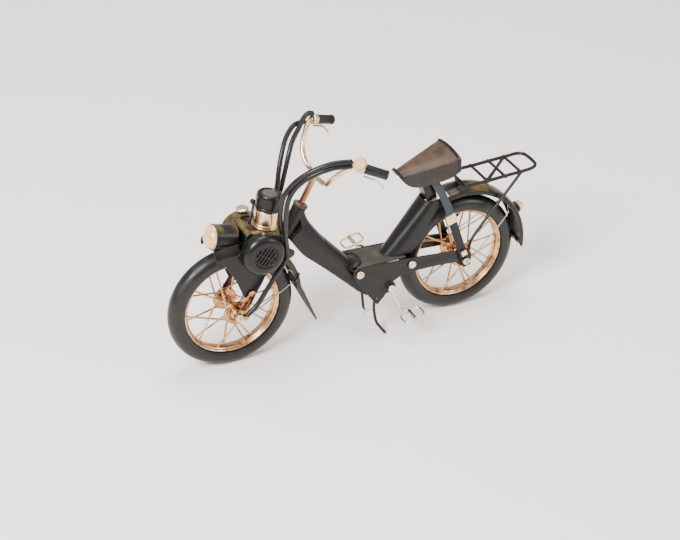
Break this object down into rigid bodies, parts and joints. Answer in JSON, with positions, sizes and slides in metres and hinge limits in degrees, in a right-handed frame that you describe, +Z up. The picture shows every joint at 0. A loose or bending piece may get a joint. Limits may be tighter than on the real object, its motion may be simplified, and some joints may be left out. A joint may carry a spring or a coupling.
{
  "type": "model pedal moped",
  "caption": "Small decorative sheet-metal model of a step-through pedal moped with its engine over the front wheel, wire-spoked wheels, folded saddle and wire luggage rack.",
  "frame": {"origin": "on the ground, below the middle of the model's outer box", "axes": "-X points to the front of the model, +X to its tail, +Y to the rider's right, +Z up"},
  "size_m": [0.296, 0.0966, 0.1728],
  "materials": {
    "black_paint": "satin black paint over tin plate, with an olive and bronze patina on upper faces",
    "tyre_black": "plain smooth matt black rubber",
    "copper_plate": "satin copper-coloured plating over steel wire and sheet",
    "pale_metal": "pale cream-gold plated metal, lightly worn",
    "bright_wire": "bright plated steel wire",
    "saddle_brown": "brown-grey antiqued paint that imitates leather, darker flaps",
    "dark_bronze": "dark antiqued bronze",
    "lens_cream": "pearl-cream enamel",
    "cable_black": "black flexible sheathing",
    "strap_steel": "blue-grey painted steel strap"
  },
  "bodies": {
    "frame": {"main_beam": "black_paint", "head_collar": "dark_bronze", "platform": "black_paint", "side_arm_left": "black_paint", "side_arm_right": "black_paint", "front_through_bolt": "pale_metal", "arm_bolt_left": "pale_metal", "arm_bolt_right": "pale_metal", "crank_housing": "black_paint", "seat_pillar": "black_paint", "saddle": "saddle_brown", "saddle_block": "black_paint", "seat_stay_left": "strap_steel", "seat_stay_right": "strap_steel", "stay_clamp_left": "pale_metal", "stay_clamp_right": "pale_metal", "rear_mudguard": "black_paint", "rear_mudguard_stay": "bright_wire", "tail_lamp_base": "black_paint", "tail_lamp_lens": "copper_plate", "luggage_rack": "black_paint", "rear_axle": "pale_metal"},
    "steering": {"front_fork": "black_paint", "fork_link_left": "copper_plate", "fork_link_right": "copper_plate", "engine_casing": "black_paint", "flywheel_cover": "black_paint", "flywheel_grille": "black_paint", "fuel_tank": "black_paint", "fuel_cap": "pale_metal", "engine_cylinder": "copper_plate", "cylinder_head": "black_paint", "decompressor_lever": "black_paint", "headlamp_shell": "black_paint", "headlamp_lens": "lens_cream", "front_mudguard": "black_paint", "front_mudguard_stay": "bright_wire", "handlebar_and_stem": "copper_plate", "grip_left": "cable_black", "grip_right": "cable_black", "control_collar_left": "pale_metal", "control_collar_right": "pale_metal", "control_dial": "lens_cream", "cable_left_throttle": "cable_black", "cable_left_brake": "cable_black", "cable_right_choke": "cable_black", "cable_right_brake": "cable_black", "front_axle": "pale_metal"},
    "front_wheel": {"front_tyre": "tyre_black", "front_rim": "copper_plate", "front_hub_and_spokes": "copper_plate"},
    "rear_wheel": {"rear_tyre": "tyre_black", "rear_rim": "copper_plate", "rear_hub_and_spokes": "copper_plate"},
    "crank": {"crank": "bright_wire"},
    "left_pedal": {"pedal_left": "bright_wire"},
    "right_pedal": {"pedal_right": "bright_wire"},
    "stand": {"stand": "black_paint"},
    "left_brake_lever": {"brake_lever_left": "bright_wire"},
    "right_brake_lever": {"brake_lever_right": "bright_wire"}
  },
  "joints": [
    {"name": "steering_turn", "type": "hinge", "parent": "frame", "child": "steering", "pos_m": [-0.0432, 0, 0.1218], "axis": [0.4648, 0, 0.8854], "range_deg": [-32, 32]},
    {"name": "front_wheel_spin", "type": "hinge", "parent": "steering", "child": "front_wheel", "pos_m": [-0.1, 0, 0.048], "axis": [0, 1, 0], "continuous": true},
    {"name": "rear_wheel_spin", "type": "hinge", "parent": "frame", "child": "rear_wheel", "pos_m": [0.0855, 0, 0.048], "axis": [0, 1, 0], "continuous": true},
    {"name": "crank_spin", "type": "hinge", "parent": "frame", "child": "crank", "pos_m": [0.0232, 0, 0.0394], "axis": [0, 1, 0], "continuous": true},
    {"name": "left_pedal_spin", "type": "hinge", "parent": "crank", "child": "left_pedal", "pos_m": [0.03453, -0.0213, 0.02054], "axis": [0, 1, 0], "continuous": true},
    {"name": "right_pedal_spin", "type": "hinge", "parent": "crank", "child": "right_pedal", "pos_m": [0.01187, 0.0213, 0.05826], "axis": [0, 1, 0], "continuous": true},
    {"name": "stand_fold", "type": "hinge", "parent": "frame", "child": "stand", "pos_m": [0.0115, 0, 0.0305], "axis": [0, -1, 0], "range_deg": [0, 58]},
    {"name": "left_brake_squeeze", "type": "hinge", "parent": "steering", "child": "left_brake_lever", "pos_m": [-0.0154, -0.0406, 0.157], "axis": [-0.3367, -0.9416, 0], "range_deg": [0, 6.5], "stiffness_Nm_per_rad": 0.002, "springref_deg": -5.73},
    {"name": "right_brake_squeeze", "type": "hinge", "parent": "steering", "child": "right_brake_lever", "pos_m": [-0.0154, 0.0406, 0.157], "axis": [0.3367, -0.9416, 0], "range_deg": [0, 6.5], "stiffness_Nm_per_rad": 0.002, "springref_deg": -5.73}
  ]
}
